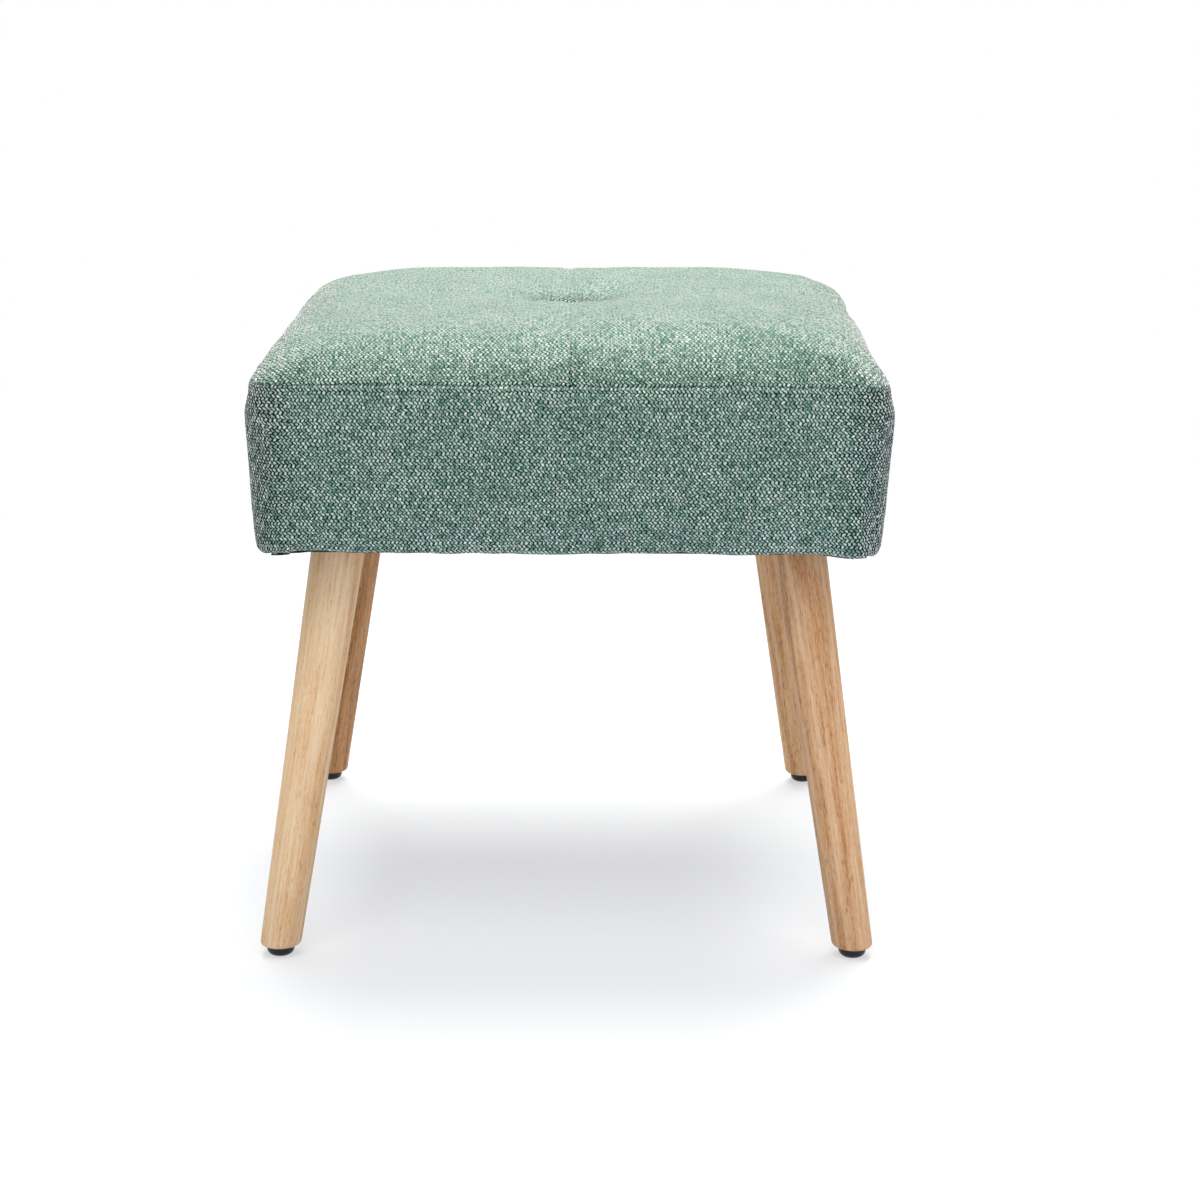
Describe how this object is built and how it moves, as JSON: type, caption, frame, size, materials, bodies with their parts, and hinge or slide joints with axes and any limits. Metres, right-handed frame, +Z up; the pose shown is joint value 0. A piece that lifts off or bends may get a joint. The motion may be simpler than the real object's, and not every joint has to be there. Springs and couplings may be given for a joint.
{
  "type": "low stool",
  "caption": "Low square stool: padded seat in woven cloth, tufted in the middle, on splayed, turned and tapered wooden legs with plastic glides.",
  "frame": {"origin": "on the floor, under the middle of the seat", "axes": "+X to the right and +Y to the back as the front is looked at, +Z up"},
  "size_m": [0.4, 0.4, 0.409],
  "materials": {
    "cover_cloth": "sea-green melange woven upholstery cloth, small basket weave, matt with a soft sheen",
    "dust_cloth": "black non-woven spunbond cloth",
    "foam": "cream open-cell polyurethane foam",
    "twine": "waxed upholstery twine, dyed like the cloth",
    "black_plastic": "black moulded nylon",
    "plywood": "raw poplar plywood",
    "frame_wood": "raw sawn pine",
    "leg_wood": "blond rubberwood under satin clear lacquer",
    "glide_plastic": "glossy black polyethylene",
    "zinc_steel": "bright zinc-plated steel"
  },
  "bodies": {
    "root": {"panel_front_left": "cover_cloth", "panel_front_right": "cover_cloth", "panel_back_left": "cover_cloth", "panel_back_right": "cover_cloth", "side_band": "cover_cloth", "dust_cover": "dust_cloth", "staples": "zinc_steel", "foam_pad": "foam", "side_foam_front": "foam", "side_foam_back": "foam", "side_foam_left": "foam", "side_foam_right": "foam", "tuft_twine": "twine", "tuft_anchor": "black_plastic", "deck_board": "plywood", "rail_front": "frame_wood", "rail_back": "frame_wood", "rail_left": "frame_wood", "rail_right": "frame_wood", "corner_block_front_left": "frame_wood", "corner_block_front_right": "frame_wood", "corner_block_back_left": "frame_wood", "corner_block_back_right": "frame_wood", "rail_screws": "zinc_steel", "block_screws": "zinc_steel", "deck_screws": "zinc_steel", "leg_plate_front_left": "zinc_steel", "leg_plate_front_right": "zinc_steel", "leg_plate_back_left": "zinc_steel", "leg_plate_back_right": "zinc_steel", "plate_screws": "zinc_steel", "leg_front_left": "leg_wood", "leg_front_right": "leg_wood", "leg_back_left": "leg_wood", "leg_back_right": "leg_wood", "hanger_bolts": "zinc_steel", "glide_front_left": "glide_plastic", "glide_front_right": "glide_plastic", "glide_back_left": "glide_plastic", "glide_back_right": "glide_plastic", "glide_nails": "zinc_steel"}
  },
  "joints": []
}
